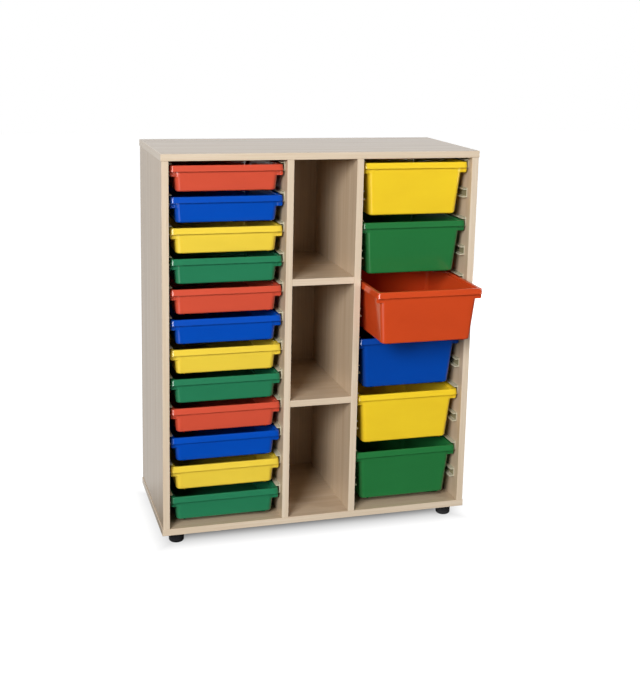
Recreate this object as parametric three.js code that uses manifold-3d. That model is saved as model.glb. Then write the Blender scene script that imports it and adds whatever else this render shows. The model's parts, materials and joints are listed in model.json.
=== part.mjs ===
// A classroom tray storage unit: a board cabinet on four feet, with a bay of shallow trays on the left,
// open cubbies in the middle and a bay of deep trays on the right. Every tray slides on plastic runners.
// Millimetres, +X to the right, +Y to the back, +Z up. The origin is on the floor, under the middle of
// the unit with its one drawn tray.

import * as THREE from 'three';
import { mergeVertices } from 'three/addons/utils/BufferGeometryUtils.js';
import Module from 'manifold-3d';

const wasm = await Module();
wasm.setup();

// Boards of the cabinet
const BOARD = 19;
const BACK_BOARD = 8;
const BACK_LAP = 9;
const TOP_OVERHANG = 2;
const CUBBY_WIDTH = 180;
const CUBBIES = 3;
const JOINT_GAP = 0.2;

// Dowels that locate the board ends
const DOWEL_RADIUS = 4;
const DOWEL_COVER = 7;
const DOWEL_INSET = 50;
const DOWEL_CLEARANCE = 0.3;
const DOWEL_SIDES = 6;

// Feet
const FOOT_RADIUS = 21.5;
const FOOT_HEIGHT = 35;
const FOOT_NECK = 3;
const FOOT_ROUND = 6;
const FOOT_END_INSET = 46;
const FOOT_FRONT_INSET = 43;
const FOOT_PEG_RADIUS = 5;
const FOOT_PEG_COVER = 7;
const FOOT_SIDES = 12;

// Trays
const LEVELS = 12;
const SHALLOW_HEIGHT = 71.3;
const DEEP_HEIGHT = 150;
const DEEP_LEVELS = 2;
const RIM_WIDTH = 312;
const RIM_LENGTH = 377;
const RIM_SIDE = 12.5;
const RIM_END = 6.5;
const RIM_FLARE = 2.5;
const RIM_CORNER = 9;
const RIM_EDGE = 1;
const RIM_ROUND = 3;
const SKIRT = 16;
const TRAY_WALL = 2.4;
const TRAY_DRAFT = THREE.MathUtils.degToRad(4.8);
const TRAY_CORNER = 14;
const TRAY_BASE_ROUND = 7;
const CORNER_STEPS = 3;

// Stop tabs between the front corners of a tray's body and its skirt
const TAB_DROP = 30;
const TAB_LAP = 5;
const TAB_EDGE_INSET = 1.3;
const TAB_FRONT_INSET = 9;
const TAB_PLATE = 1.6;
const TAB_ROUND = 4;
const TAB_RIB = 0.8;
const TAB_RIB_WIDTH = 2.5;
const TAB_RIB_PLACES = [8, 14];

// Runners
const RUNNER_WEB = 2.5;
const RUNNER_LEDGE = 3;
const RUNNER_TOP = 2.5;
const RUNNER_TOP_REACH = 12.5;
const RUNNER_UPSTAND = 2.7;
const RUNNER_HEADROOM = 3;
const RUNNER_END_GAP = 3.5;
const RUNNING_GAP = 0.3;

// How the trays sit in the cabinet
const SIDE_GAP = 5.5;
const REACH_GAP = 3;
const PITCH = 84.15;
const LOWEST_DROP = 6;
const LOWEST_SHALLOW = 11;
const LOWEST_DEEP = 10;
const CEILING_GAP = 5.5;
const FLOOR_GAP = 14.35;
const RIM_SETBACK = 13.6;
const REAR_GAP = 1.4;
const DRAWN_TRAY = 2;
const DRAWN_PULL = 142;

// Finishes
const MAPLE = { color: 0xd8c6aa, roughness: 0.55, metalness: 0 };
const IVORY_PLASTIC = { color: 0xc9c3aa, roughness: 0.45, metalness: 0 };
const BLACK_PLASTIC = { color: 0x18181a, roughness: 0.5, metalness: 0 };
const TRAY_COLOURS = [0xcf5138, 0x0048b4, 0xecce48, 0x287b57];
const DEEP_FIRST_COLOUR = 2;
const TRAY_ROUGHNESS = 0.35;

// Places that follow from the driving sizes
const FIRST_RIM = CEILING_GAP + RUNNER_UPSTAND + RUNNER_TOP + RUNNER_HEADROOM;
const BAY_WIDTH = RIM_WIDTH + 2 * SIDE_GAP;
const BAY_HEIGHT = FIRST_RIM + (LEVELS - 1) * PITCH + LOWEST_DROP + SHALLOW_HEIGHT + FLOOR_GAP;
const CUBBY_HEIGHT = (BAY_HEIGHT - (CUBBIES - 1) * BOARD) / CUBBIES;
const DEPTH = RIM_SETBACK + RIM_LENGTH + REAR_GAP + BACK_BOARD;
const BACK_FACE = DEPTH - BACK_BOARD;
const DIVIDER_INNER = CUBBY_WIDTH / 2;
const DIVIDER_OUTER = DIVIDER_INNER + BOARD;
const SIDE_INNER = DIVIDER_OUTER + BAY_WIDTH;
const SIDE_OUTER = SIDE_INNER + BOARD;
const BOARD_END = SIDE_OUTER + TOP_OVERHANG;
const BAY_CENTRE = (DIVIDER_OUTER + SIDE_INNER) / 2;
const BAY_FLOOR = FOOT_HEIGHT + BOARD;
const BAY_CEILING = BAY_FLOOR + BAY_HEIGHT;
const UPRIGHT_SPAN = [BAY_FLOOR + JOINT_GAP, BAY_CEILING - JOINT_GAP];
const DOWEL_DEPTH = BOARD - DOWEL_COVER;
const DOWEL_PLACES = [DOWEL_INSET, BACK_FACE - DOWEL_INSET];
const UPRIGHT_CENTRES = [SIDE_INNER + BOARD / 2, DIVIDER_INNER + BOARD / 2];
const TAB_BACK = TAB_FRONT_INSET + TAB_RIB + TAB_PLATE;
const RUNNER_FRONT = RIM_SETBACK + TAB_BACK + RUNNING_GAP;
const RUNNER_LENGTH = BACK_FACE - RUNNER_END_GAP - RUNNER_FRONT;
const RUNNER_REACH = SIDE_GAP + RIM_SIDE - REACH_GAP;
const UNIT_FRONT = Math.min(0, RIM_SETBACK - DRAWN_PULL);
const WALLS = [-1, 1];

// The levels are evenly spaced, except that a bay's lowest tray hangs a little further down
function rimTop(level, lowest) {
  const drop = level < lowest ? 0 : LOWEST_DROP;
  return BAY_CEILING - FIRST_RIM - level * PITCH - drop;
}

const shelfBase = (shelf) => BAY_FLOOR + shelf * CUBBY_HEIGHT + (shelf - 1) * BOARD;

// Solids and the joins and cuts between them
function solid(geometry) {
  const bare = geometry.clone();
  bare.deleteAttribute('normal');
  bare.deleteAttribute('uv');
  const merged = mergeVertices(bare);
  const vertProperties = new Float32Array(merged.getAttribute('position').array);
  const triVerts = new Uint32Array(merged.getIndex().array);
  return new wasm.Manifold(new wasm.Mesh({ numProp: 3, vertProperties, triVerts }));
}

function combine(base, added, removed) {
  let body = solid(base);
  removed.forEach((tool) => {
    body = body.subtract(solid(tool));
  });
  added.forEach((tool) => {
    body = body.add(solid(tool));
  });
  const { vertProperties, triVerts } = body.getMesh();
  const geometry = new THREE.BufferGeometry();
  geometry.setAttribute('position', new THREE.BufferAttribute(vertProperties, 3));
  geometry.setIndex(new THREE.BufferAttribute(triVerts, 1));
  geometry.computeVertexNormals();
  return geometry;
}

function block([x0, x1], [y0, y1], [z0, z1]) {
  const geometry = new THREE.BoxGeometry(x1 - x0, y1 - y0, z1 - z0);
  return geometry.translate((x0 + x1) / 2, (y0 + y1) / 2, (z0 + z1) / 2);
}

function pin(radius, length, sides, axis, centre) {
  const geometry = new THREE.CylinderGeometry(radius, radius, length, sides);
  if (axis === 'x') {
    geometry.rotateZ(Math.PI / 2);
  } else {
    geometry.rotateX(Math.PI / 2);
  }
  return geometry.translate(...centre);
}

// A dowel stands half in the board that carries it, and its hole is a clearance wider and deeper
function dowel(axis, centre) {
  return pin(DOWEL_RADIUS, 2 * DOWEL_DEPTH, DOWEL_SIDES, axis, centre);
}

function dowelHole(axis, centre) {
  const length = 2 * (DOWEL_DEPTH + DOWEL_CLEARANCE);
  return pin(DOWEL_RADIUS + DOWEL_CLEARANCE, length, DOWEL_SIDES, axis, centre);
}

// Boards: the two long ones lie over the ends of the uprights, and all four outer ones are rebated
// round the back panel
function backRebate() {
  const half = SIDE_INNER + BACK_LAP + JOINT_GAP;
  const bottom = BAY_FLOOR - BACK_LAP - JOINT_GAP;
  const top = BAY_CEILING + BACK_LAP + JOINT_GAP;
  return block([-half, half], [BACK_FACE - JOINT_GAP, DEPTH + BOARD], [bottom, top]);
}

function longBoard(bottom, seam, extraHoles) {
  const holes = WALLS.flatMap((side) => UPRIGHT_CENTRES.flatMap((x) => (
    DOWEL_PLACES.map((y) => dowelHole('z', [side * x, y, seam])))));
  const base = block([-BOARD_END, BOARD_END], [0, DEPTH], [bottom, bottom + BOARD]);
  return combine(base, [], [backRebate(), ...holes, ...extraHoles]);
}

function footSpots() {
  const x = BOARD_END - FOOT_END_INSET;
  return [FOOT_FRONT_INSET, DEPTH - FOOT_FRONT_INSET].flatMap((y) => WALLS.map((side) => [side * x, y]));
}

function bottomPanel() {
  const radius = FOOT_PEG_RADIUS + DOWEL_CLEARANCE;
  const length = 2 * (BOARD - FOOT_PEG_COVER + DOWEL_CLEARANCE);
  const pegHoles = footSpots().map(([x, y]) => pin(radius, length, FOOT_SIDES, 'z', [x, y, FOOT_HEIGHT]));
  return longBoard(FOOT_HEIGHT, BAY_FLOOR, pegHoles);
}

function uprightDowels(x) {
  return UPRIGHT_SPAN.flatMap((z) => DOWEL_PLACES.map((y) => dowel('z', [x, y, z])));
}

function across(side, near, far) {
  return [side * near, side * far].sort((a, b) => a - b);
}

function sidePanel(side, runners) {
  const base = block(across(side, SIDE_INNER, SIDE_OUTER), [0, DEPTH], UPRIGHT_SPAN);
  const dowels = uprightDowels(side * (SIDE_INNER + BOARD / 2));
  return combine(base, [...dowels, ...runners], [backRebate()]);
}

function shelves() {
  return Array.from({ length: CUBBIES - 1 }, (_, index) => index + 1);
}

function shelfDowelPlaces(side, faceGap) {
  return shelves().flatMap((shelf) => DOWEL_PLACES.map((y) => (
    [side * (DIVIDER_INNER - faceGap), y, shelfBase(shelf) + BOARD / 2])));
}

function divider(side, runners) {
  const span = [0, BACK_FACE - JOINT_GAP];
  const base = block(across(side, DIVIDER_INNER, DIVIDER_OUTER), span, UPRIGHT_SPAN);
  const dowels = uprightDowels(side * (DIVIDER_INNER + BOARD / 2));
  const holes = shelfDowelPlaces(side, 0).map((centre) => dowelHole('x', centre));
  return combine(base, [...dowels, ...runners], holes);
}

function shelf(number) {
  const half = DIVIDER_INNER - JOINT_GAP;
  const bottom = shelfBase(number);
  const base = block([-half, half], [0, BACK_FACE - JOINT_GAP], [bottom, bottom + BOARD]);
  const ends = WALLS.flatMap((side) => shelfDowelPlaces(side, JOINT_GAP));
  const own = ends.filter(([, , z]) => z === bottom + BOARD / 2);
  return combine(base, own.map((centre) => dowel('x', centre)), []);
}

function backPanel() {
  const half = SIDE_INNER + BACK_LAP;
  return block([-half, half], [BACK_FACE, DEPTH], [BAY_FLOOR - BACK_LAP, BAY_CEILING + BACK_LAP]);
}

// A turned foot: a rounded pad, a narrow neck under the board and a peg up into it
function foot() {
  const top = FOOT_HEIGHT - JOINT_GAP;
  const neckRadius = FOOT_RADIUS - FOOT_NECK;
  const profile = [
    [0, 0],
    [FOOT_RADIUS - FOOT_ROUND, 0],
    [FOOT_RADIUS - FOOT_ROUND * (1 - Math.SQRT1_2), FOOT_ROUND * (1 - Math.SQRT1_2)],
    [FOOT_RADIUS, FOOT_ROUND],
    [FOOT_RADIUS, top - FOOT_NECK],
    [neckRadius, top - FOOT_NECK],
    [neckRadius, top],
    [FOOT_PEG_RADIUS, top],
    [FOOT_PEG_RADIUS, top + BOARD - FOOT_PEG_COVER],
    [0, top + BOARD - FOOT_PEG_COVER],
  ];
  const geometry = new THREE.LatheGeometry(profile.map(([r, z]) => new THREE.Vector2(r, z)), FOOT_SIDES);
  return combine(geometry.rotateX(Math.PI / 2), [], []);
}

function extrude(outline, depth) {
  const points = outline.map(([x, y]) => new THREE.Vector2(x, y));
  return new THREE.ExtrudeGeometry(new THREE.Shape(points), { depth, bevelEnabled: false });
}

// A runner: a channel that opens towards the tray, with a ledge that carries the rim's skirt, a thinner
// and shorter flange over it and a web that stands a little above. Heights are measured from the tray's
// rim, widths from the wall.
function runnerShape(back) {
  const ledge = -SKIRT - RUNNING_GAP;
  const top = RUNNER_HEADROOM + RUNNER_TOP;
  return [
    [back, ledge - RUNNER_LEDGE],
    [RUNNER_REACH, ledge - RUNNER_LEDGE],
    [RUNNER_REACH, ledge],
    [RUNNER_WEB, ledge],
    [RUNNER_WEB, RUNNER_HEADROOM],
    [RUNNER_TOP_REACH, RUNNER_HEADROOM],
    [RUNNER_TOP_REACH, top],
    [RUNNER_WEB, top],
    [RUNNER_WEB, top + RUNNER_UPSTAND],
    [back, top + RUNNER_UPSTAND],
  ];
}

function runner(facing, back, [x, y, z]) {
  const geometry = extrude(runnerShape(back).map(([reach, up]) => [facing * reach, up]), RUNNER_LENGTH);
  geometry.rotateX(Math.PI / 2);
  return geometry.translate(x, y + RUNNER_LENGTH, z);
}

function runnerLadder(wall, facing, back, lowest) {
  return Array.from({ length: LEVELS }, (_, level) => (
    runner(facing, back, [wall, RUNNER_FRONT, rimTop(level, lowest)])));
}

// A tray: one moulded shell lofted through rounded rings, from the inside of the floor up the wall,
// over the rim, round its skirt and down the outside. The rim's top is at Z = 0 and its front at Y = 0.
function ring({ half, front, back, corner }, height) {
  const centres = [[1, front + corner], [1, back - corner], [-1, back - corner], [-1, front + corner]];
  return centres.flatMap(([side, y], quarter) => (
    Array.from({ length: CORNER_STEPS + 1 }, (_, step) => {
      const angle = (quarter - 1 + step / CORNER_STEPS) * Math.PI / 2;
      return new THREE.Vector3(
        side * (half - corner) + corner * Math.cos(angle),
        y + corner * Math.sin(angle),
        height,
      );
    })));
}

function rimOutline(inset) {
  return {
    half: RIM_WIDTH / 2 - inset,
    front: inset,
    back: RIM_LENGTH - inset,
    corner: Math.max(RIM_CORNER - inset, RIM_EDGE),
  };
}

function bodyOutline(inset) {
  return {
    half: RIM_WIDTH / 2 - RIM_SIDE - inset,
    front: RIM_END + inset,
    back: RIM_LENGTH - RIM_END - inset,
    corner: Math.max(TRAY_CORNER - inset, RIM_EDGE),
  };
}

function skirtFlare(drop) {
  return RIM_FLARE * (1 - drop / SKIRT);
}

// Rings of the rounded foot of a wall, from the wall down to the floor
function baseRound(wallInset, floor, radius) {
  const draw = (depth) => wallInset + depth * Math.tan(TRAY_DRAFT);
  const start = floor + radius;
  const middle = 1 - Math.SQRT1_2;
  return [
    ring(bodyOutline(draw(-start)), start),
    ring(bodyOutline(draw(-start) + radius * middle), floor + radius * middle),
    ring(bodyOutline(draw(-start) + radius), floor),
  ];
}

function trayShell(height) {
  const innerFloor = TRAY_WALL - height;
  const lip = TRAY_WALL + RIM_EDGE;
  return [
    ...baseRound(TRAY_WALL, innerFloor, TRAY_BASE_ROUND - TRAY_WALL).reverse(),
    ring(bodyOutline(TRAY_WALL), 0),
    ring(rimOutline(RIM_FLARE + RIM_ROUND), 0),
    ring(rimOutline(skirtFlare(RIM_ROUND)), -RIM_ROUND),
    ring(rimOutline(0), -SKIRT),
    ring(rimOutline(TRAY_WALL), -SKIRT),
    ring(rimOutline(skirtFlare(lip) + TRAY_WALL), -lip),
    ring(bodyOutline(lip * Math.tan(TRAY_DRAFT)), -lip),
    ...baseRound(0, -height, TRAY_BASE_ROUND),
  ];
}

function loft(rings) {
  const count = rings[0].length;
  const last = (rings.length - 1) * count;
  const faces = [];
  for (let start = 0; start < last; start += count) {
    for (let i = 0; i < count; i += 1) {
      const a = start + i;
      const b = start + (i + 1) % count;
      faces.push(a, b + count, b, a, a + count, b + count);
    }
  }
  for (let i = 1; i + 1 < count; i += 1) {
    faces.push(0, i, i + 1, last, last + i + 1, last + i);
  }
  const geometry = new THREE.BufferGeometry().setFromPoints(rings.flat());
  geometry.setIndex(faces);
  return geometry;
}

// A stop tab: a ribbed web across the gap between a front corner of the body and the skirt, rounded at
// its free corner and rooted in the middle of the wall
function stopTab(side, height) {
  const outer = RIM_WIDTH / 2 - TAB_EDGE_INSET;
  const inner = RIM_WIDTH / 2 - RIM_SIDE - TRAY_CORNER;
  const top = TAB_LAP - SKIRT;
  const bevel = TAB_ROUND * (1 - Math.SQRT1_2);
  const outline = [
    [inner, -TAB_DROP],
    [outer - TAB_ROUND, -TAB_DROP],
    [outer - bevel, bevel - TAB_DROP],
    [outer, TAB_ROUND - TAB_DROP],
    [outer, top],
    [inner, top],
  ];
  const plate = extrude(outline.map(([x, z]) => [side * x, z]), TAB_PLATE);
  plate.rotateX(Math.PI / 2);
  plate.translate(0, TAB_BACK, 0);
  const ribs = TAB_RIB_PLACES.map((inset) => {
    const x = RIM_WIDTH / 2 - inset;
    const span = across(side, x - TAB_RIB_WIDTH / 2, x + TAB_RIB_WIDTH / 2);
    return block(span, [TAB_FRONT_INSET, TAB_BACK - TAB_PLATE / 2], [-TAB_DROP, top]);
  });
  const midWall = TRAY_WALL / 2;
  const foot = baseRound(midWall, midWall - height, TRAY_BASE_ROUND - midWall);
  const inside = loft([ring(bodyOutline(midWall), 0), ...foot]);
  return combine(plate, ribs, [inside]);
}

function tray(height) {
  return combine(loft(trayShell(height)), WALLS.map((side) => stopTab(side, height)), []);
}

// The unit, piece by piece
const cabinet = new THREE.Group();

function addPiece(name, geometry, finish, place = [0, 0, 0]) {
  const mesh = new THREE.Mesh(geometry, new THREE.MeshStandardMaterial(finish));
  mesh.name = name;
  mesh.position.set(...place);
  cabinet.add(mesh);
}

function numbered(name, number) {
  return `${name}_${String(number).padStart(2, '0')}`;
}

function addBoards() {
  addPiece('top_panel', longBoard(BAY_CEILING, BAY_CEILING, []), MAPLE);
  addPiece('bottom_panel', bottomPanel(), MAPLE);
  addPiece('left_side_panel', sidePanel(-1, []), MAPLE);
  addPiece('left_divider', divider(-1, []), MAPLE);
  addPiece('right_divider', divider(1, runnerLadder(DIVIDER_OUTER, 1, -JOINT_GAP, LOWEST_DEEP)), MAPLE);
  addPiece('right_side_panel', sidePanel(1, runnerLadder(SIDE_INNER, -1, -JOINT_GAP, LOWEST_DEEP)), MAPLE);
  shelves().forEach((number) => addPiece(numbered('shelf', number), shelf(number), MAPLE));
  addPiece('back_panel', backPanel(), MAPLE);
}

function addFeet() {
  const names = ['foot_front_left', 'foot_front_right', 'foot_rear_left', 'foot_rear_right'];
  footSpots().forEach(([x, y], index) => addPiece(names[index], foot(), BLACK_PLASTIC, [x, y, 0]));
}

function addRunners() {
  const outer = runnerLadder(-SIDE_INNER, 1, JOINT_GAP, LOWEST_SHALLOW);
  const inner = runnerLadder(-DIVIDER_OUTER, -1, JOINT_GAP, LOWEST_SHALLOW);
  outer.forEach((geometry, level) => addPiece(numbered('runner_outer', level + 1), geometry, IVORY_PLASTIC));
  inner.forEach((geometry, level) => addPiece(numbered('runner_inner', level + 1), geometry, IVORY_PLASTIC));
}

function trayFinish(index) {
  return { color: TRAY_COLOURS[index % TRAY_COLOURS.length], roughness: TRAY_ROUGHNESS, metalness: 0 };
}

function addTrays() {
  const shallow = tray(SHALLOW_HEIGHT);
  const deep = tray(DEEP_HEIGHT);
  for (let level = 0; level < LEVELS; level += 1) {
    const place = [-BAY_CENTRE, RIM_SETBACK, rimTop(level, LOWEST_SHALLOW)];
    addPiece(numbered('shallow_tray', level + 1), shallow, trayFinish(level), place);
  }
  for (let index = 0; index < LEVELS / DEEP_LEVELS; index += 1) {
    const pull = index === DRAWN_TRAY ? DRAWN_PULL : 0;
    const place = [BAY_CENTRE, RIM_SETBACK - pull, rimTop(index * DEEP_LEVELS, LOWEST_DEEP)];
    addPiece(numbered('deep_tray', index + 1), deep, trayFinish(index + DEEP_FIRST_COLOUR), place);
  }
}

addBoards();
addFeet();
addRunners();
addTrays();
cabinet.position.y = -(UNIT_FRONT + DEPTH) / 2;

const unit = new THREE.Group();
unit.add(cabinet);

export default unit;
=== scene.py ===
"""Looks of a classroom tray storage unit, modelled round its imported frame.

Metres, +Z up, front towards -Y. Every piece rides on a body of the frame, and the trays slide.
"""

import json
import math
from contextlib import contextmanager

import bmesh
import bpy
from bpy.props import FloatProperty, FloatVectorProperty, IntProperty, PointerProperty
from mathutils import Matrix, Vector

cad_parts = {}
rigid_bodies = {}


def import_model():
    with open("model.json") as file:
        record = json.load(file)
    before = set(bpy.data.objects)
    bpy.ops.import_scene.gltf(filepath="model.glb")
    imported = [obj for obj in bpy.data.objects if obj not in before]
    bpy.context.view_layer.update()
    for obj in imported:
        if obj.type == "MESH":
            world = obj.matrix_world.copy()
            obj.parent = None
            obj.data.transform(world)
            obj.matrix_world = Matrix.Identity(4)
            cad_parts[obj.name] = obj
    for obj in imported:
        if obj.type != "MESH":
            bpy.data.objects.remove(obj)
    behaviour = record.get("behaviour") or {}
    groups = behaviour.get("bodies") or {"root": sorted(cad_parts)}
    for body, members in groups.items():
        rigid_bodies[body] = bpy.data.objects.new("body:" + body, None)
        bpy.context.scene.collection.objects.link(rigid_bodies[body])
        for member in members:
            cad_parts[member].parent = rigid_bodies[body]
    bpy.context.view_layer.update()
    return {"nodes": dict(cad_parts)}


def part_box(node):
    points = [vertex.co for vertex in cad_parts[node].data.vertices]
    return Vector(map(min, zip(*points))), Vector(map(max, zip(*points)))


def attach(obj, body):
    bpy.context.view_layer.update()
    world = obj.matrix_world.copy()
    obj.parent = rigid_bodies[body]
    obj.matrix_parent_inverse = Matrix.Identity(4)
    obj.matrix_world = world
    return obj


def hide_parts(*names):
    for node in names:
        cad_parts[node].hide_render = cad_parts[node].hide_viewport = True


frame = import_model()

bl_info = {
    "name": "Classroom tray unit",
    "version": (1, 0, 0),
    "blender": (4, 5, 0),
    "location": "View3D > Sidebar > Tray Unit",
    "description": "Boards, runners, feet and sliding trays of a classroom storage unit, with their studio",
    "category": "Object",
}

MM = 0.001
HAIR = 0.05 * MM
CABINET = "cabinet"
LEVELS = sum(1 for node in frame["nodes"] if node.startswith("shallow_tray_"))
DEEP_TRAYS = sum(1 for node in frame["nodes"] if node.startswith("deep_tray_"))
TRAY_ORDER = ("red", "blue", "yellow", "green")
DEEP_FIRST = TRAY_ORDER.index("yellow")
MIDDLE = Vector((0, 0, 0.55))


def paint(red, green, blue):
    """A colour as it is seen on a screen, from 0 to 255, as Blender's linear colour."""
    def linear(value):
        share = value / 255
        return share / 12.92 if share <= 0.04045 else ((share + 0.055) / 1.055) ** 2.4
    return (linear(red), linear(green), linear(blue), 1.0)


def length(name, description, millimetres):
    """A size that a user may change, given in millimetres and kept in metres."""
    return FloatProperty(name=name, description=description, default=millimetres * MM, unit="LENGTH", precision=5)


def colour(name, description, red, green, blue):
    """A colour that a user may change."""
    return FloatVectorProperty(
        name=name, description=description, subtype="COLOR", size=4, min=0, max=1, default=paint(red, green, blue)
    )


# Sizes and finishes that a user may change

class BoardSizes(bpy.types.PropertyGroup):
    """Sizes of the boards, their edge bands and the nails of the back panel."""

    joint_gap: length("Joint gap", "Gap between two boards at a joint", 0.2)
    band: length("Edge band", "Thickness of the plastic band on a board's edge", 1.0)
    band_round: length("Band round", "Radius along the edges of the band", 0.8)
    board_round: length("Board round", "Radius along the edges of a board", 0.3)
    nail_pitch: length("Nail pitch", "Longest distance between the nails of the back panel", 150)
    nail_radius: length("Nail radius", "Radius of a nail's head", 2.4)
    nail_height: length("Nail height", "How far a nail's head stands out", 0.9)
    nail_inset: length("Nail inset", "Distance of the nails from the edge of the back panel", 4.5)


class FootSizes(bpy.types.PropertyGroup):
    """Sizes of a foot."""

    round_radius: length("Round", "Radius of the foot's rounded lower edge", 7)
    neck: length("Neck", "Depth and height of the neck under the board", 3)
    groove: length("Groove", "Depth of the groove above the sole", 0.8)
    sole: length("Sole", "Height of the sole", 4)
    steps: IntProperty(name="Steps", description="Steps round the foot", default=48, min=12, max=96)


class RunnerSizes(bpy.types.PropertyGroup):
    """Sizes of a runner's section, of its lead-in and of its screws."""

    web: length("Web", "Thickness against the wall", 2.5)
    ledge: length("Ledge", "Thickness of the ledge that carries a tray", 3)
    flange: length("Flange", "Thickness of the flange above the tray's rim", 2.5)
    flange_reach: length("Flange reach", "How far the flange stands out", 12.3)
    upstand: length("Upstand", "How far the web stands above the flange", 2.7)
    lead_in: length("Lead-in", "Radius of the front corners of ledge and flange", 2.5)
    edge_round: length("Edge round", "Radius along the edges", 0.5)
    screw_radius: length("Screw radius", "Radius of a screw's head", 3.6)
    screw_height: length("Screw height", "Height of a screw's head", 1.6)
    screw_slot: length("Screw slot", "Width of the cross in a screw's head", 0.9)
    screw_inset: length("Screw inset", "Distance of the end screws from the ends of a runner", 37)


class TraySizes(bpy.types.PropertyGroup):
    """Sizes of a tray's moulding."""

    wall: length("Wall", "Thickness of the moulding", 2.4)
    rim_side: length("Side rim", "Width of the rim along the sides", 12.5)
    rim_end: length("End rim", "Width of the rim at the front and the back", 6.5)
    rim_corner: length("Rim corner", "Radius of the rim's corners", 9)
    rim_round: length("Rim round", "Radius of the rim's outer top edge", 2.2)
    mouth_round: length("Mouth round", "Radius of the rim's inner top edge", 2)
    flare: length("Flare", "How far the skirt leans out towards its lower edge", 2.5)
    skirt: length("Skirt", "Height of the skirt round the rim", 16)
    body_corner: length("Body corner", "Radius of the body's upright corners", 14)
    base_round: length("Base round", "Outer radius round the base", 5.6)
    ledge_drop: length("Ledge drop", "Depth of the stacking ledge below the rim", 7)
    ledge_side: length("Side ledge", "Width of the stacking ledge along the sides", 3)
    ledge_end: length("End ledge", "Width of the stacking ledge at the front and the back", 0.8)
    recess: length("Base recess", "Depth of the panel under the base", 0.7)
    recess_inset: length("Base border", "Width of the border round the panel under the base", 16)
    tab_drop: length("Tab drop", "Distance from the rim's top to a stop tab's lower edge", 30)
    tab_inset: length("Tab inset", "Distance of a stop tab from the rim's side", 1.3)
    tab_front: length("Tab setback", "Distance of a stop tab's ribs from the rim's front", 9)
    tab_plate: length("Tab plate", "Thickness of a stop tab's plate", 1.6)
    tab_rib: length("Tab rib", "How far a stop tab's ribs stand out", 0.8)
    tab_rib_width: length("Tab rib width", "Width of a stop tab's ribs", 2.2)
    tab_rib_first: length("First tab rib", "Distance of a stop tab's outer rib from the rim's side", 8)
    tab_rib_pitch: length("Tab rib pitch", "Distance between a stop tab's ribs", 6)
    tab_lap: length("Tab lap", "How far a stop tab reaches up behind the skirt", 5)
    tab_corner: length("Tab corner", "Radius of a stop tab's lower corner", 4)
    edge_round: length("Edge round", "Radius along the fine edges", 0.4)
    draft: FloatProperty(
        name="Draft", description="Lean of the walls", default=math.radians(4.8), subtype="ANGLE", unit="ROTATION"
    )
    corner_steps: IntProperty(name="Corner steps", description="Faces round a corner", default=9, min=3, max=16)


class Finishes(bpy.types.PropertyGroup):
    """Colours of the unit."""

    maple: colour("Maple", "Ground of the board faces", 214, 194, 168)
    maple_line: colour("Maple line", "Darker lines of the board faces", 190, 165, 136)
    band: colour("Band", "Ground of the edge bands", 229, 213, 191)
    band_line: colour("Band line", "Darker lines of the edge bands", 212, 190, 162)
    runner: colour("Runner", "Ivory plastic of the runners", 206, 201, 176)
    # Runner web: painted shade of the channel between ledge and flange, darker than the runner's ivory
    runner_web: colour("Runner web", "Thin web of the runners, which lets the board show", 142, 134, 102)
    foot: colour("Foot", "Black plastic of the feet", 22, 22, 24)
    steel: colour("Steel", "Zinc-plated screws and nails", 176, 176, 172)
    shallow_red: colour("Shallow red", "Red shallow trays", 209, 81, 57)
    shallow_blue: colour("Shallow blue", "Blue shallow trays", 0, 74, 181)
    shallow_yellow: colour("Shallow yellow", "Yellow shallow trays", 237, 205, 66)
    shallow_green: colour("Shallow green", "Green shallow trays", 38, 122, 83)
    deep_red: colour("Deep red", "Red deep trays", 205, 72, 30)
    deep_blue: colour("Deep blue", "Blue deep trays", 0, 68, 166)
    deep_yellow: colour("Deep yellow", "Yellow deep trays", 243, 205, 42)
    deep_green: colour("Deep green", "Green deep trays", 37, 116, 59)


class Studio(bpy.types.PropertyGroup):
    """Camera, lamps and floor."""

    eye: FloatVectorProperty(
        name="Eye", description="Place of the camera", subtype="TRANSLATION", default=(-0.9226, -3.1517, 1.4436)
    )
    turn: FloatVectorProperty(
        name="Turn",
        description="Angles of the camera",
        subtype="EULER",
        default=(math.radians(78.559), math.radians(-1.238), math.radians(-16.548)),
    )
    lens: FloatProperty(name="Lens", description="Focal length in millimetres", default=60.977, min=1)
    shift: FloatVectorProperty(
        name="Shift", description="Shift of the picture in the frame", size=2, default=(0, -0.121)
    )
    ambient: FloatProperty(name="Ambient", description="Strength of the even light", default=0.06, min=0)
    front_gloss: FloatProperty(name="Front", description="White of the front floor in gloss", default=0.02, min=0)
    sky_gloss: FloatProperty(name="Sky", description="White over the front floor in gloss", default=0.12, min=0)
    key_power: FloatProperty(name="Key", description="Power of the soft box", default=510, min=0, unit="POWER")
    fill_power: FloatProperty(name="Fill", description="Power of the fill lamp", default=42, min=0, unit="POWER")
    back_power: FloatProperty(name="Back", description="Power of the lamp behind", default=100, min=0, unit="POWER")
    top_power: FloatProperty(name="Top", description="Power of the lamp above", default=6, min=0, unit="POWER")
    strip_power: FloatProperty(name="Strip", description="Power of the left gloss", default=150, min=0, unit="POWER")
    spark_power: FloatProperty(name="Spark", description="Power of the right gloss", default=55, min=0, unit="POWER")
    pool_power: FloatProperty(name="Pool", description="Power of the floor's gloss", default=16, min=0, unit="POWER")
    # Reach of the painted shadow that the floor's glow falls into round the cabinet
    shade_outside: length("Shade outside", "How far the floor's shade reaches out from the cabinet", 85)
    shade_inside: length("Shade inside", "How far in under the cabinet the floor is darkest", 92)
    floor_gloss: FloatProperty(name="Floor gloss", description="White that gloss shows of the floor", default=0.65, min=0)


class TrayUnit(bpy.types.PropertyGroup):
    """All that a user may change about the unit."""

    boards: PointerProperty(type=BoardSizes)
    feet: PointerProperty(type=FootSizes)
    runners: PointerProperty(type=RunnerSizes)
    trays: PointerProperty(type=TraySizes)
    finishes: PointerProperty(type=Finishes)
    studio: PointerProperty(type=Studio)


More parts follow.
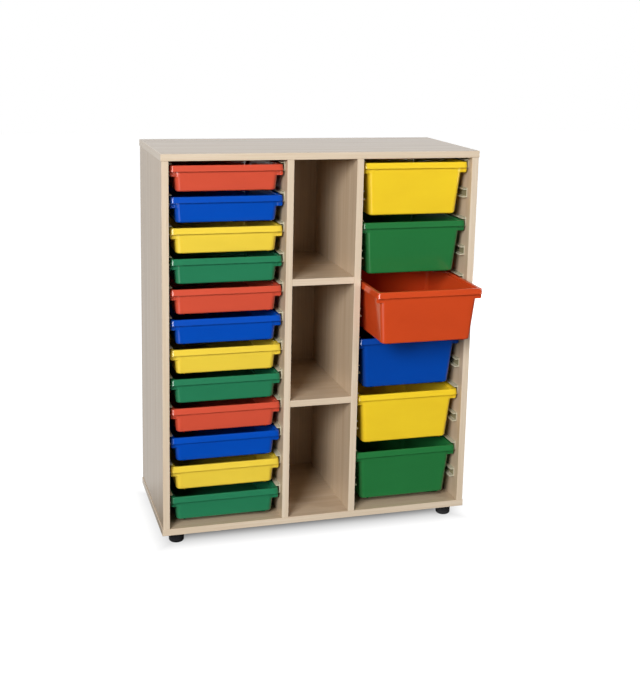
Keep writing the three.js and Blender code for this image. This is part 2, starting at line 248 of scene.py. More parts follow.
def unit():
    """The settings of the unit in this scene."""
    return bpy.context.scene.tray_unit


# Bench: selecting, shaping and finishing

def clear_selection():
    """Back in object mode with nothing selected."""
    if bpy.context.mode != "OBJECT":
        bpy.ops.object.mode_set(mode="OBJECT")
    bpy.ops.object.select_all(action="DESELECT")


def take(piece):
    """Selects one piece alone and makes it active."""
    clear_selection()
    piece.select_set(True)
    bpy.context.view_layer.objects.active = piece


@contextmanager
def editing(piece):
    """Opens one piece in edit mode with nothing selected, and closes it again."""
    take(piece)
    bpy.ops.object.mode_set(mode="EDIT")
    bpy.ops.mesh.select_mode(type="VERT")
    bpy.ops.mesh.select_all(action="DESELECT")
    yield
    bpy.ops.object.mode_set(mode="OBJECT")


def choose(piece, kind, test):
    """Selects the vertices, edges or faces of the open piece that pass a test."""
    bpy.ops.mesh.select_mode(type=kind)
    bpy.ops.mesh.select_all(action="DESELECT")
    mesh = bmesh.from_edit_mesh(piece.data)
    elements = {"VERT": mesh.verts, "EDGE": mesh.edges, "FACE": mesh.faces}[kind]
    for element in elements:
        if test(element):
            element.select_set(True)
    bmesh.update_edit_mesh(piece.data)


def named(piece, name):
    """Names a new piece and its mesh, and settles its place into the mesh."""
    piece.name = name
    piece.data.name = name
    take(piece)
    bpy.ops.object.transform_apply(location=True, rotation=True, scale=True)
    return piece


def block(name, low, high):
    """A box between two corners, ready to be shaped."""
    clear_selection()
    bpy.ops.mesh.primitive_cube_add(size=1, location=(low + high) / 2, scale=high - low)
    return named(bpy.context.active_object, name)


def trace(name, points):
    """An outline drawn by extruding one vertex from point to point."""
    clear_selection()
    bpy.ops.mesh.primitive_plane_add(size=MM, location=points[0])
    piece = named(bpy.context.active_object, name)
    with editing(piece):
        bpy.ops.mesh.select_all(action="SELECT")
        bpy.ops.mesh.merge(type="CENTER")
        for start, end in zip(points, points[1:]):
            bpy.ops.mesh.extrude_region_move(TRANSFORM_OT_translate={"value": end - start})
    return piece


def pull(piece, way):
    """Fills a traced outline and extrudes it into a solid."""
    with editing(piece):
        bpy.ops.mesh.select_all(action="SELECT")
        bpy.ops.mesh.edge_face_add()
        bpy.ops.mesh.extrude_region_move(TRANSFORM_OT_translate={"value": way})
        bpy.ops.mesh.select_all(action="SELECT")
        bpy.ops.mesh.normals_make_consistent(inside=False)


def turn(piece, centre, axis, steps):
    """Spins a traced half section into a closed round body."""
    with editing(piece):
        bpy.ops.mesh.select_all(action="SELECT")
        bpy.ops.mesh.spin(steps=steps, angle=math.tau, center=centre, axis=axis)
        bpy.ops.mesh.select_all(action="SELECT")
        bpy.ops.mesh.remove_doubles(threshold=HAIR / 10)
        bpy.ops.mesh.normals_make_consistent(inside=False)


def modify(piece, kind, **settings):
    """Adds a modifier to a piece and applies it."""
    modifier = piece.modifiers.new(kind, kind)
    for setting, value in settings.items():
        setattr(modifier, setting, value)
    take(piece)
    bpy.ops.object.modifier_apply(modifier=modifier.name)


def soften(piece, radius, segments=2, angle=35):
    """Rounds the sharp edges of a piece."""
    modify(piece, "BEVEL", width=radius, segments=segments, limit_method="ANGLE", angle_limit=math.radians(angle))


def cut(piece, cutter):
    """Takes one body out of a piece."""
    modify(piece, "BOOLEAN", operation="DIFFERENCE", solver="EXACT", object=cutter)
    bpy.data.objects.remove(cutter)


def weld(piece, added):
    """Makes another body one with a piece."""
    modify(piece, "BOOLEAN", operation="UNION", solver="EXACT", object=added)
    bpy.data.objects.remove(added)


def join(pieces, name):
    """Makes several loose bodies one piece."""
    clear_selection()
    for piece in pieces:
        piece.select_set(True)
    bpy.context.view_layer.objects.active = pieces[0]
    bpy.ops.object.join()
    return named(pieces[0], name)


def copy_of(pattern, name, way, mirrored=False):
    """A copy with its own mesh, moved and, where asked, mirrored left to right."""
    take(pattern)
    bpy.ops.object.duplicate(linked=False)
    piece = bpy.context.active_object
    if mirrored:
        bpy.ops.transform.mirror(constraint_axis=(True, False, False), center_override=(0, 0, 0))
        bpy.ops.object.transform_apply(location=True, rotation=True, scale=True)
        with editing(piece):
            bpy.ops.mesh.select_all(action="SELECT")
            bpy.ops.mesh.normals_make_consistent(inside=False)
        take(piece)
    bpy.ops.transform.translate(value=way)
    return named(piece, name)


def finish(piece, material, body, replaced=(), angle=32):
    """Shades a piece, gives it its material and puts it on its body."""
    take(piece)
    bpy.ops.object.shade_smooth_by_angle(angle=math.radians(angle))
    modify(piece, "WEIGHTED_NORMAL", keep_sharp=True)
    piece.data.materials.clear()
    piece.data.materials.append(material)
    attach(piece, body)
    if replaced:
        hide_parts(*replaced)
    return piece


# Shader groups and materials

def node(tree, kind, inputs=None, **settings):
    """Adds a node, sets it and wires or sets its inputs."""
    made = tree.nodes.new(kind)
    for setting, value in settings.items():
        setattr(made, setting, value)
    for socket, value in (inputs or {}).items():
        if isinstance(value, bpy.types.NodeSocket):
            tree.links.new(value, made.inputs[socket])
        else:
            made.inputs[socket].default_value = value
    return made


def blend_colour(tree, share, first, second):
    """Mixes two colours by a share that changes over the surface."""
    mix = node(tree, "ShaderNodeMix", data_type="RGBA")
    for index, value in ((0, share), (6, first), (7, second)):
        if isinstance(value, bpy.types.NodeSocket):
            tree.links.new(value, mix.inputs[index])
        else:
            mix.inputs[index].default_value = value
    return mix.outputs[2]


def stretched_noise(tree, vector, scale, detail=3, roughness=0.55):
    """Noise that is stretched by a different scale along each axis."""
    spread = node(tree, "ShaderNodeVectorMath", {0: vector, 1: scale}, operation="MULTIPLY")
    noise = node(
        tree, "ShaderNodeTexNoise", {"Vector": spread.outputs[0], "Scale": 1, "Detail": detail, "Roughness": roughness}
    )
    return noise.outputs["Fac"]


def reach(tree, value, low, high, new_low=0.0, new_high=1.0):
    """Spreads a stretch of a value over a new one, and clamps it there."""
    spread = node(
        tree,
        "ShaderNodeMapRange",
        {"Value": value, "From Min": low, "From Max": high, "To Min": new_low, "To Max": new_high},
        clamp=True,
    )
    return spread.outputs["Result"]


def sum_of(tree, first, second, share):
    """The first value plus a share of the second."""
    return node(tree, "ShaderNodeMath", {0: second, 1: share, 2: first}, operation="MULTIPLY_ADD").outputs[0]


def shader_group(name, inputs, outputs):
    """An empty shader group with named sockets, and its two end nodes."""
    tree = bpy.data.node_groups.new(name, "ShaderNodeTree")
    for label, kind in inputs:
        tree.interface.new_socket(label, in_out="INPUT", socket_type=kind)
    for label, kind in outputs:
        tree.interface.new_socket(label, in_out="OUTPUT", socket_type=kind)
    return tree, tree.nodes.new("NodeGroupInput").outputs, tree.nodes.new("NodeGroupOutput").inputs


FINISH_OUTPUTS = (
    ("Color", "NodeSocketColor"),
    ("Roughness", "NodeSocketFloat"),
    ("Height", "NodeSocketFloat"),
)


def wood_grain():
    """Straight printed grain that runs along Z: fine lines, broad bands and short pores."""
    if "Wood grain" in bpy.data.node_groups:
        return bpy.data.node_groups["Wood grain"]
    inputs = (("Vector", "NodeSocketVector"), ("Ground", "NodeSocketColor"), ("Line", "NodeSocketColor"))
    tree, given, result = shader_group("Wood grain", inputs, FINISH_OUTPUTS)
    lines = stretched_noise(tree, given["Vector"], (330, 330, 4), detail=4, roughness=0.62)
    bands = stretched_noise(tree, given["Vector"], (42, 42, 0.9), detail=2)
    pores = stretched_noise(tree, given["Vector"], (1500, 1500, 55), detail=1)
    tone = sum_of(tree, reach(tree, lines, 0.30, 0.72, 0, 0.62), reach(tree, bands, 0.32, 0.68), 0.38)
    pore_mask = reach(tree, pores, 0.60, 0.74, 0, 0.22)
    figure = node(tree, "ShaderNodeMath", {0: tone, 1: pore_mask}, operation="ADD", use_clamp=True).outputs[0]
    tree.links.new(blend_colour(tree, figure, given["Ground"], given["Line"]), result["Color"])
    tree.links.new(reach(tree, lines, 0.25, 0.75, 0.15, 0.24), result["Roughness"])
    tree.links.new(sum_of(tree, lines, pore_mask, -1.6), result["Height"])
    return tree


def moulded_plastic():
    """Moulded plastic: faint flow marks in its colour, a fine spark texture and rubbed patches."""
    if "Moulded plastic" in bpy.data.node_groups:
        return bpy.data.node_groups["Moulded plastic"]
    inputs = (("Vector", "NodeSocketVector"), ("Ground", "NodeSocketColor"), ("Rubbed", "NodeSocketColor"))
    tree, given, result = shader_group("Moulded plastic", inputs, FINISH_OUTPUTS)
    flow = stretched_noise(tree, given["Vector"], (7, 9, 15), detail=3)
    grit = stretched_noise(tree, given["Vector"], (1900, 1900, 1900), detail=1)
    rubs = stretched_noise(tree, given["Vector"], (90, 90, 520), detail=5, roughness=0.7)
    patch = stretched_noise(tree, given["Vector"], (11, 11, 26), detail=2)
    rubbed = node(
        tree,
        "ShaderNodeMath",
        {0: reach(tree, rubs, 0.60, 0.78), 1: reach(tree, patch, 0.50, 0.72)},
        operation="MULTIPLY",
    ).outputs[0]
    share = sum_of(tree, reach(tree, flow, 0.30, 0.70, 0, 0.30), rubbed, 0.45)
    tree.links.new(blend_colour(tree, share, given["Ground"], given["Rubbed"]), result["Color"])
    tree.links.new(sum_of(tree, reach(tree, patch, 0.30, 0.70, 0.09, 0.13), rubbed, 0.12), result["Roughness"])
    tree.links.new(grit, result["Height"])
    return tree


def lighter(base, share):
    """A colour moved a share of the way to white."""
    return tuple(channel + (1 - channel) * share for channel in base[:3]) + (1.0,)


def brighter(base, factor):
    """A colour with more light in it and the same hue."""
    return tuple(min(channel * factor, 1) for channel in base[:3]) + (1.0,)


def finish_material(name, group, inputs, bump, turned=(0, 0, 0), moved=(0, 0, 0), **sockets):
    """A Principled material whose colour, roughness and bump come from a shader group."""
    if name in bpy.data.materials:
        return bpy.data.materials[name]
    material = bpy.data.materials.new(name)
    material.use_nodes = True
    tree = material.node_tree
    shader = tree.nodes["Principled BSDF"]
    place = node(tree, "ShaderNodeTexCoord").outputs["Object"]
    aligned = node(tree, "ShaderNodeMapping", {"Vector": place, "Rotation": turned, "Location": moved})
    surface = node(tree, "ShaderNodeGroup", node_tree=group)
    tree.links.new(aligned.outputs[0], surface.inputs["Vector"])
    for socket, value in inputs.items():
        surface.inputs[socket].default_value = value
    relief = node(tree, "ShaderNodeBump", {"Height": surface.outputs["Height"], "Strength": bump, "Distance": MM / 4})
    tree.links.new(surface.outputs["Color"], shader.inputs["Base Color"])
    tree.links.new(surface.outputs["Roughness"], shader.inputs["Roughness"])
    tree.links.new(relief.outputs["Normal"], shader.inputs["Normal"])
    for socket, value in sockets.items():
        shader.inputs[socket.replace("_", " ")].default_value = value
    return material


GRAIN_TURNS = {"upright": (0, 0, 0), "level": (0, math.pi / 2, 0), "deep": (math.pi / 2, 0, 0)}


def maple(name, grain, shift):
    """Maple-look laminate whose grain runs up, across or to the back, with its own place in the figure."""
    colours = unit().finishes
    return finish_material(
        f"maple_{name}",
        wood_grain(),
        {"Ground": colours.maple, "Line": colours.maple_line},
        bump=0.08,
        turned=GRAIN_TURNS[grain],
        moved=(shift, 2 * shift, 3 * shift),
        Specular_IOR_Level=0.11 if name == "top_panel" else 0.38,
    )


def edge_band(name, grain, shift):
    """Pale plastic band with the same figure along a board's edge."""
    colours = unit().finishes
    return finish_material(
        f"band_{name}",
        wood_grain(),
        {"Ground": colours.band, "Line": colours.band_line},
        bump=0.08,
        turned=GRAIN_TURNS[grain],
        moved=(shift, 2 * shift, 3 * shift),
        Specular_IOR_Level=0.4,
    )


def plastic(name, base, rub=0.35, bump=0.10, **sockets):
    """Moulded plastic of one colour."""
    inputs = {"Ground": base, "Rubbed": lighter(base, rub)}
    return finish_material(name, moulded_plastic(), inputs, bump, **sockets)


def tray_plastic(kind, colour_name):
    """Glossy plastic of a tray: the shallow and the deep trays each have their own set of colours."""
    base = getattr(unit().finishes, f"{kind}_{colour_name}")
    inputs = {"Ground": base, "Rubbed": brighter(base, 1.2)}
    name = f"gloss_{kind}_{colour_name}"
    return finish_material(name, moulded_plastic(), inputs, bump=0.04, Specular_IOR_Level=0.5)


def zinc_steel():
    """Zinc-plated steel of the screws and nails."""
    return plastic("zinc_steel", unit().finishes.steel, rub=0.3, Metallic=1.0)


# Boards

def box_of(node_name):
    """Lowest and highest corner of a node of the frame."""
    low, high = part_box(node_name)
    return Vector(low), Vector(high)


def board_places():
    """Corners of every board, from the frame, without the dowels and runners that its node also holds."""
    gap = unit().boards.joint_gap
    places = {name: box_of(name) for name in ("top_panel", "bottom_panel", "back_panel")}
    floor = places["bottom_panel"][1].z + gap
    ceiling = places["top_panel"][0].z - gap
    rear = places["back_panel"][0].y - gap
    for part, deepest in (("side_panel", places["top_panel"][1].y), ("divider", rear)):
        low, high = box_of(f"left_{part}")
        places[f"left_{part}"] = (Vector((low.x, low.y, floor)), Vector((high.x, deepest, ceiling)))
        places[f"right_{part}"] = (Vector((-high.x, low.y, floor)), Vector((-low.x, deepest, ceiling)))
    half = -places["left_divider"][1].x - gap
    for name in sorted(frame["nodes"]):
        if name.startswith("shelf_"):
            low, high = box_of(name)
            places[name] = (Vector((-half, low.y, low.z)), Vector((half, rear, high.z)))
    return places


def grain_of(name):
    """Way that the grain of a board runs."""
    return "level" if name.startswith(("top", "bottom", "shelf")) else "upright"


def banded_ends(name):
    """Whether the ends of a board show and are banded too."""
    return name in ("top_panel", "bottom_panel")


def back_cutter(places):
    """The room that the back panel takes in the boards round it."""
    gap = Vector((1, 1, 1)) * unit().boards.joint_gap
    low, high = places["back_panel"]
    rear = Vector((0, high.y - low.y, 0))
    return block("back_room", low - gap, high + gap + rear)


def make_board(name, low, high, places, shift):
    """One board, set back behind its bands, rebated for the back panel and softened along its edges."""
    sizes = unit().boards
    core_low, core_high = low.copy(), high.copy()
    if name != "back_panel":
        core_low.y += sizes.band
    if banded_ends(name):
        core_low.x += sizes.band
        core_high.x -= sizes.band
    board = block(f"{name}_board", core_low, core_high)
    if name != "back_panel" and core_high.y > places["back_panel"][0].y:
        cut(board, back_cutter(places))
    soften(board, sizes.board_round)
    return finish(board, maple(name, grain_of(name), shift), CABINET, [name])


def make_band(name, low, high, outward, material):
    """One band on an edge, rounded along the edges of its outer face."""
    band = block(name, low, high)
    face = high if outward.dot(Vector((1, 1, 1))) > 0 else low
    level = face.dot(Vector(map(abs, outward)))
    across = Vector(map(abs, outward))
    with editing(band):
        choose(band, "EDGE", lambda edge: all(abs(v.co.dot(across) - level) < HAIR for v in edge.verts))
        bpy.ops.mesh.bevel(offset=unit().boards.band_round, segments=3)
    return finish(band, material, CABINET)


def make_bands(name, low, high, shift):
    """The front band of a board and, where its ends show, the end bands."""
    thick = unit().boards.band
    grain = grain_of(name)
    front_high = Vector((high.x, low.y + thick, high.z))
    make_band(f"{name}_front_band", low, front_high, Vector((0, -1, 0)), edge_band(name, grain, shift))
    if not banded_ends(name):
        return
    material = edge_band(f"{name}_end", "deep", shift)
    for side, label in ((-1, "left"), (1, "right")):
        end = low.x if side < 0 else high.x
        near, far = sorted((end, end - side * thick))
        end_low = Vector((near, low.y + thick, low.z))
        make_band(f"{name}_{label}_band", end_low, Vector((far, high.y, high.z)), Vector((side, 0, 0)), material)


class TRAYUNIT_OT_boards(bpy.types.Operator):
    """Models the boards of the cabinet and their edge bands"""

    bl_idname = "tray_unit.boards"
    bl_label = "Boards and edge bands"

    def execute(self, context):
        places = board_places()
        for index, (name, (low, high)) in enumerate(sorted(places.items())):
            shift = 0.37 * (index + 1)
            make_board(name, low, high, places, shift)
            if name != "back_panel":
                make_bands(name, low, high, shift)
        return {"FINISHED"}


def nail_spots(low, high, pitch):
    """Evenly spread places round the edge of a panel, given by its corners in X and Z."""
    spots = set()
    for axis in (0, 1):
        count = math.ceil((high[axis] - low[axis]) / pitch)
        for step in range(count + 1):
            along = low[axis] + (high[axis] - low[axis]) * step / count
            for across in (low[1 - axis], high[1 - axis]):
                spots.add((along, across) if axis == 0 else (across, along))
    return sorted(spots)


def domed_head(name, radius, height, centre):
    """A low domed head that stands towards +Y, spun from its section."""
    rise = [math.radians(a) for a in (0, 30, 60, 90)]
    section = [centre + Vector((radius * math.cos(a), height * math.sin(a), 0)) for a in rise]
    head = trace(name, [centre, *section])
    turn(head, centre, (0, 1, 0), 14)
    return head


class TRAYUNIT_OT_nails(bpy.types.Operator):
    """Sets the nails round the back panel"""

    bl_idname = "tray_unit.nails"
    bl_label = "Back panel nails"

    def execute(self, context):
        sizes = unit().boards
        low, high = box_of("back_panel")
        inset = sizes.nail_inset
        spots = nail_spots(
            (low.x + inset, low.z + inset), (high.x - inset, high.z - inset), sizes.nail_pitch
        )
        pattern = domed_head("nail_pattern", sizes.nail_radius, sizes.nail_height, Vector((0, high.y, 0)))
        nails = [copy_of(pattern, f"nail_{i}", Vector((x, 0, z))) for i, (x, z) in enumerate(spots)]
        bpy.data.objects.remove(pattern)
        finish(join(nails, "back_panel_nails"), zinc_steel(), CABINET)
        return {"FINISHED"}


# Feet

def arc(centre, radius, start, end, steps):
    """Points of a round stretch, as (radius from the axis, height)."""
    angles = [math.radians(start + (end - start) * step / steps) for step in range(steps + 1)]
    return [(centre[0] + radius * math.cos(a), centre[1] + radius * math.sin(a)) for a in angles]


def foot_section(radius, top):
    """Half section of a foot: a rounded sole, a groove above it, the body and the neck under the board."""
    sizes = unit().feet
    bend = sizes.round_radius
    groove = bend + sizes.sole
    return [
        (0, 0),
        *arc((radius - bend, bend), bend, -90, 0, 8),
        (radius, groove),
        (radius - sizes.groove, groove + sizes.groove),
        (radius - sizes.groove, groove + 2 * sizes.groove),
        (radius, groove + 3 * sizes.groove),
        *arc((radius - MM, top - sizes.neck - MM), MM, 0, 90, 3),
        (radius - sizes.neck, top - sizes.neck),
        (radius - sizes.neck, top),
        (0, top),
    ]


class TRAYUNIT_OT_feet(bpy.types.Operator):
    """Turns the four feet"""

    bl_idname = "tray_unit.feet"
    bl_label = "Feet"

    def execute(self, context):
        top = box_of("bottom_panel")[0].z - unit().boards.joint_gap
        material = plastic("foot_black", unit().finishes.foot, rub=0.12, bump=0.2, Specular_IOR_Level=0.4)
        for name in sorted(n for n in frame["nodes"] if n.startswith("foot_")):
            low, high = box_of(name)
            centre = Vector(((low.x + high.x) / 2, (low.y + high.y) / 2, low.z))
            section = foot_section((high.x - low.x) / 2, top - low.z)
            foot = trace(f"{name}_turned", [centre + Vector((r, 0, z)) for r, z in section])
            turn(foot, centre, (0, 0, 1), unit().feet.steps)
            finish(foot, material, CABINET, [name])
        return {"FINISHED"}


# Runners

def runner_outline(low, high):
    """Section of a runner on the left wall of a bay, in its own box: the web stands on the wall at low X."""
    sizes = unit().runners
    web = low.x + sizes.web
    nose = low.x + sizes.flange_reach
    ledge = low.z + sizes.ledge
    flange_top = high.z - sizes.upstand
    flange = flange_top - sizes.flange
    section = [
        (low.x, low.z),
        (high.x, low.z),
        (high.x, ledge),
        (web, ledge),
        (web, flange),
        (nose, flange),
        (nose, flange_top),
        (web, flange_top),
        (web, high.z),
        (low.x, high.z),
    ]
    return [Vector((x, low.y, z)) for x, z in section]


def make_runner(low, high):
    """One runner, drawn as a section, pulled to its length and rounded at the front of ledge and flange."""
    sizes = unit().runners
    runner = trace("runner_pattern", runner_outline(low, high))
    pull(runner, Vector((0, high.y - low.y, 0)))
    noses = (high.x, low.x + sizes.flange_reach)

    def front_corner(edge):
        first, second = (vertex.co for vertex in edge.verts)
        upright = abs(first.x - second.x) < HAIR and max(first.y, second.y) - low.y < HAIR
        return upright and min(abs(first.x - nose) for nose in noses) < HAIR

    with editing(runner):
        choose(runner, "EDGE", front_corner)
        bpy.ops.mesh.bevel(offset=sizes.lead_in, segments=5)
    soften(runner, sizes.edge_round)
    return runner


def make_screw(centre):
    """One screw head with a cross in it, standing towards +X."""
    sizes = unit().runners
    rise = [math.radians(a) for a in (0, 25, 50, 75, 90)]
    section = [
        centre + Vector((sizes.screw_height * math.sin(a), sizes.screw_radius * math.cos(a), 0)) for a in rise
    ]
    head = trace("screw_pattern", [centre, *section])
    turn(head, centre, (1, 0, 0), 16)
    reach_out = Vector((sizes.screw_height, 0.62 * sizes.screw_radius, sizes.screw_slot / 2))
    top = centre + Vector((sizes.screw_height * 1.4, 0, 0))
    for size in (reach_out, Vector((reach_out.x, reach_out.z, reach_out.y))):
        cut(head, block("cross", top - size, top + size))
    return head


def level_steps():
    """Height of each level above the first one, for the left bay and for the right bay.

    The right bay's runners are part of its boards, so its levels come from the trays that they carry."""
    left = [box_of(f"runner_outer_{number:02d}")[0].z for number in range(1, LEVELS + 1)]
    decks = [box_of(f"deep_tray_{number:02d}")[1].z for number in range(1, DEEP_TRAYS + 1)]
    between = left[1] - left[0]
    right = [deck + step for deck in decks for step in (0, between)]
    return [height - left[0] for height in left], [height - decks[0] for height in right]


def wall_runners():
    """Every wall that carries runners: its label, whether it faces left, the way from the pattern's wall,
    its levels and whether the frame has nodes for its runners."""
    outer = box_of("runner_outer_01")
    places = board_places()
    left, right = level_steps()
    bay = Vector((places["right_divider"][1].x - places["left_side_panel"][1].x, 0, 0))
    facing = Vector((box_of("runner_inner_01")[1].x + outer[0].x, 0, 0))
    return (
        ("outer", False, Vector(), left, True),
        ("inner", True, facing, left, True),
        ("right_inner", False, bay, right, False),
        ("right_outer", True, facing + bay, right, False),
    )


class TRAYUNIT_OT_runners(bpy.types.Operator):
    """Sets the runners on the walls of both bays, and their screws"""

    bl_idname = "tray_unit.runners"
    bl_label = "Runners and screws"

    def execute(self, context):
        sizes = unit().runners
        ivory = plastic("runner_ivory", unit().finishes.runner, rub=0.2, Specular_IOR_Level=0.35)
        # The darker web colour is painted shade inside the runner's channel
        web_shade = plastic("runner_thin", unit().finishes.runner_web, rub=0.1, Specular_IOR_Level=0.35)
        low, high = box_of("runner_outer_01")
        runner = make_runner(low, high)
        web_faces = [
            face.index
            for face in runner.data.polygons
            if face.normal.x > 0.99 and abs(face.center.x - low.x - sizes.web) < HAIR
        ]
        middle = (low.z + sizes.ledge + high.z - sizes.upstand - sizes.flange) / 2
        screw_places = [low.y + sizes.screw_inset, (low.y + high.y) / 2, high.y - sizes.screw_inset]
        screw = make_screw(Vector((low.x + sizes.web, 0, middle)))
        for wall, faces_left, way, levels, has_nodes in wall_runners():
            screws = []
            for number, height in enumerate(levels, 1):
                name = f"runner_{wall}_{number:02d}"
                step = way + Vector((0, 0, height))
                strip = copy_of(runner, f"{name}_strip", step, faces_left)
                finish(strip, ivory, CABINET, [name] if has_nodes else ())
                # The web faces get the painted channel shade
                strip.data.materials.append(web_shade)
                for index in web_faces:
                    strip.data.polygons[index].material_index = 1
                for along in screw_places:
                    screws.append(copy_of(screw, f"screw_{len(screws)}", step + Vector((0, along, 0)), faces_left))
            finish(join(screws, f"runner_{wall}_screws"), zinc_steel(), CABINET)
        bpy.data.objects.remove(runner)
        bpy.data.objects.remove(screw)
        return {"FINISHED"}


# Trays

def add_ring(half, front, back, radius, centre_x, height, keep_face=False):
    """Adds a rounded rectangle to the open mesh, as a face or as edges alone."""
    centre = (centre_x, (front + back) / 2, height)
    bpy.ops.mesh.select_all(action="DESELECT")
    bpy.ops.mesh.primitive_plane_add(size=1, location=centre)
    bpy.ops.transform.resize(value=(2 * half, back - front, 1), center_override=centre)
    bpy.ops.mesh.bevel(offset=radius, segments=unit().trays.corner_steps, affect="VERTICES")
    if not keep_face:
        bpy.ops.mesh.delete(type="ONLY_FACE")


def bridge_open_edges():
    """Bridges the open edge of the shell to the ring that was added last."""
    bpy.ops.mesh.select_mode(type="EDGE")
    bpy.ops.mesh.select_all(action="DESELECT")
    bpy.ops.mesh.select_non_manifold()
    bpy.ops.mesh.bridge_edge_loops()
    bpy.ops.mesh.select_mode(type="VERT")


def tray_rings(low, high):
    """The rings of a tray's upper skin, from its floor up the wall, over the rim and down the skirt.

    Each ring is (inset from the rim's sides, inset from its ends, corner radius, height below the rim)."""
    sizes = unit().trays
    lean = math.tan(sizes.draft)
    side = sizes.rim_side + sizes.wall
    end = sizes.rim_end + sizes.wall
    corner = sizes.body_corner - sizes.wall
    floor = high.z - low.z - sizes.wall
    ledge = sizes.ledge_drop
    return [
        (side + floor * lean, end + floor * lean, corner, floor),
        (side + ledge * lean, end + ledge * lean, corner, ledge),
        (side + ledge * lean - sizes.ledge_side, end + ledge * lean - sizes.ledge_end, corner, ledge - HAIR),
        (side - sizes.ledge_side, end - sizes.ledge_end, corner, 0),
        (sizes.flare, sizes.flare, sizes.rim_corner - sizes.flare, 0),
        (0, 0, sizes.rim_corner, sizes.skirt),
    ]


def on_ring(ring, low, high):
    """A test for the edges that lie on one ring of a tray."""
    side, end, radius, drop = ring
    centre = (low + high) / 2
    straight = Vector((high.x - low.x, high.y - low.y)) / 2 - Vector((side + radius, end + radius))

    def lies_on(vertex):
        past = Vector((abs(vertex.co.x - centre.x) - straight.x, abs(vertex.co.y - centre.y) - straight.y))
        outward = Vector((max(past.x, 0), max(past.y, 0))).length
        level = abs(vertex.co.z - (high.z - drop)) < HAIR / 2
        return level and abs(outward - radius) < HAIR

    return lambda edge: all(lies_on(vertex) for vertex in edge.verts)


def round_ring(tray, ring, low, high, radius, segments):
    """Rounds the shell along one of its rings."""
    with editing(tray):
        choose(tray, "EDGE", on_ring(ring, low, high))
        bpy.ops.mesh.bevel(offset=radius, segments=segments, clamp_overlap=True)


def tray_skin(low, high):
    """The upper skin of a tray, lofted ring by ring."""
    sizes = unit().trays
    rings = tray_rings(low, high)
    centre_x = (low.x + high.x) / 2
    clear_selection()
    bpy.ops.mesh.primitive_plane_add(size=MM)
    tray = named(bpy.context.active_object, "tray_pattern")
    with editing(tray):
        bpy.ops.mesh.select_all(action="SELECT")
        bpy.ops.mesh.delete(type="VERT")
        for index, (side, end, radius, drop) in enumerate(rings):
            half = (high.x - low.x) / 2 - side
            lift = sizes.skirt if index and drop == rings[index - 1][3] else 0
            height = high.z - drop + lift
            add_ring(half, low.y + end, high.y - end, radius, centre_x, height, keep_face=index == 0)
            if index:
                bridge_open_edges()
            if lift:
                choose(tray, "VERT", lambda vertex: vertex.co.z > high.z + HAIR)
                bpy.ops.transform.translate(value=(0, 0, -lift))
    round_ring(tray, rings[4], low, high, sizes.rim_round, 6)
    round_ring(tray, rings[3], low, high, sizes.mouth_round, 4)
    round_ring(tray, rings[0], low, high, sizes.base_round - sizes.wall, 6)
    return tray


def wall_middle(half, setback, drop):
    """Half width of a tray at the middle of its front corner's wall, a setback behind the rim's front and
    a drop below the rim."""
    sizes = unit().trays
    inset = drop * math.tan(sizes.draft) + sizes.body_corner
    off_centre = sizes.rim_end + inset - setback
    radius = sizes.body_corner - sizes.wall / 2
    return half - sizes.rim_side - inset + math.sqrt(radius ** 2 - off_centre ** 2)


def stop_tab(side, low, high):
    """A stop tab: a ribbed web between a front corner of the body and the skirt, rounded at its free corner."""
    sizes = unit().trays
    half = (high.x - low.x) / 2
    rib = sizes.tab_front
    plate = rib + sizes.tab_rib
    back = plate + sizes.tab_plate
    outer = half - sizes.tab_inset
    top = sizes.skirt - sizes.tab_lap
    middle = (sizes.tab_drop + top) / 2
    section = [(wall_middle(half, back, middle), back), (wall_middle(half, plate, middle), plate)]
    for place in (sizes.tab_rib_first + sizes.tab_rib_pitch, sizes.tab_rib_first):
        near = half - place - sizes.tab_rib_width / 2
        far = near + sizes.tab_rib_width
        section += [(near, plate), (near, rib), (far, rib), (far, plate)]
    section += [(outer, plate), (outer, back)]
    centre_x = (low.x + high.x) / 2
    base = high.z - sizes.tab_drop
    tab = trace("stop_tab", [Vector((centre_x + side * x, low.y + y, base)) for x, y in section])
    pull(tab, Vector((0, 0, sizes.tab_drop - top)))

    def free_corner(edge):
        return all(v.co.z - base < HAIR and abs(v.co.x - centre_x - side * outer) < HAIR for v in edge.verts)

    with editing(tab):
        choose(tab, "EDGE", free_corner)
        bpy.ops.mesh.bevel(offset=sizes.tab_corner, segments=5)
    soften(tab, sizes.edge_round / 2)
    return tab


def recess_base(tray, low):
    """Sets the panel under the base up into it."""
    sizes = unit().trays
    with editing(tray):
        choose(tray, "FACE", lambda face: face.normal.z < -0.99 and face.calc_center_median().z - low.z < HAIR)
        bpy.ops.mesh.inset(thickness=sizes.recess_inset)
        bpy.ops.mesh.inset(thickness=sizes.recess, depth=-sizes.recess)


def make_tray(low, high):
    """One tray: its skin, given the moulding's thickness, with its stop tabs and its base."""
    sizes = unit().trays
    tray = tray_skin(low, high)
    modify(tray, "SOLIDIFY", thickness=sizes.wall, offset=-1, use_even_offset=True, use_quality_normals=True)
    soften(tray, sizes.edge_round, angle=60)
    recess_base(tray, low)
    for side in (-1, 1):
        weld(tray, stop_tab(side, low, high))
    return tray


def set_trays(kind, count, first_colour):
    """Models one tray of a kind and sets a copy in the place of each of the frame's."""
    nodes = [f"{kind}_tray_{number:02d}" for number in range(1, count + 1)]
    low, high = box_of(nodes[0])
    pattern = make_tray(low, high)
    for index, name in enumerate(nodes):
        colour_name = TRAY_ORDER[(index + first_colour) % len(TRAY_ORDER)]
        tray = copy_of(pattern, f"{name}_moulding", box_of(name)[0] - low)
        finish(tray, tray_plastic(kind, colour_name), name, [name])
    bpy.data.objects.remove(pattern)


class TRAYUNIT_OT_shallow_trays(bpy.types.Operator):
    """Moulds the shallow trays of the left bay"""

    bl_idname = "tray_unit.shallow_trays"
    bl_label = "Shallow trays"

    def execute(self, context):
        set_trays("shallow", LEVELS, 0)
        return {"FINISHED"}


